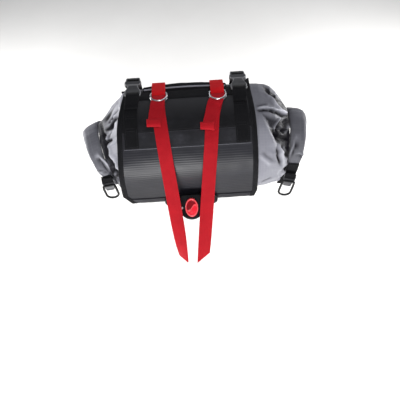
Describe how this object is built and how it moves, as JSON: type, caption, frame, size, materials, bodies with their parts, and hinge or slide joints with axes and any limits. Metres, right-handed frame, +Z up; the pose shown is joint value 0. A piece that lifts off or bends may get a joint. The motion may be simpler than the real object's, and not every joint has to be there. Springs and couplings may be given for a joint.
{
  "type": "bicycle handlebar bag",
  "caption": "Roll-ended dry bag in a wrap-round cradle with webbing, buckles, D-rings and long straps, on a quick-release bracket housing with a push button.",
  "frame": {"origin": "middle of the plate's rider-side face, where the handlebar bracket takes hold", "axes": "+X along the bag to the rider's right, +Y forward, +Z up"},
  "size_m": [0.4398, 0.3099, 0.2461],
  "materials": {
    "grey_cloth": "coated ripstop cloth, satin",
    "black_cloth": "woven nylon, matt",
    "coated_cloth": "ribbed coated cloth, soft sheen",
    "black_webbing": "woven webbing, matt",
    "red_webbing": "woven webbing, matt",
    "dark_plastic": "moulded, fine texture",
    "black_plastic": "moulded, satin",
    "red_plastic": "moulded, satin gloss",
    "steel": "nickel-plated wire",
    "black_steel": "black lacquer"
  },
  "bodies": {
    "bag": {"dry_bag": "grey_cloth", "roll_left": "grey_cloth", "roll_right": "grey_cloth", "cradle": "black_cloth", "upper_panel": "black_cloth", "middle_panel": "black_cloth", "bottom_strip": "coated_cloth", "edge_binding_left": "black_webbing", "edge_binding_right": "black_webbing", "top_rim": "black_webbing", "top_webbing": "black_webbing", "side_webbing_left": "black_webbing", "side_webbing_right": "black_webbing", "front_webbing_left": "black_webbing", "front_webbing_right": "black_webbing", "buckle_left_socket": "dark_plastic", "buckle_left_plug": "dark_plastic", "buckle_right_socket": "dark_plastic", "buckle_right_plug": "dark_plastic", "red_loop_left": "red_webbing", "red_loop_right": "red_webbing", "d_ring_left": "steel", "d_ring_right": "steel", "red_strap_left": "red_webbing", "red_strap_right": "red_webbing", "end_tab_left": "black_webbing", "end_tab_right": "black_webbing", "end_buckle_left": "dark_plastic", "end_buckle_right": "dark_plastic", "end_ring_left": "black_steel", "end_ring_right": "black_steel", "bag_plate": "black_plastic", "bracket_housing": "black_plastic", "housing_screw": "steel"},
    "button": {"release_button": "red_plastic"}
  },
  "joints": [
    {"name": "release_press", "type": "slide", "parent": "bag", "child": "button", "axis": [0, 0.7071, -0.7071], "range_m": [0, 0.003], "stiffness_N_per_m": 1200, "springref_m": -0.001}
  ]
}
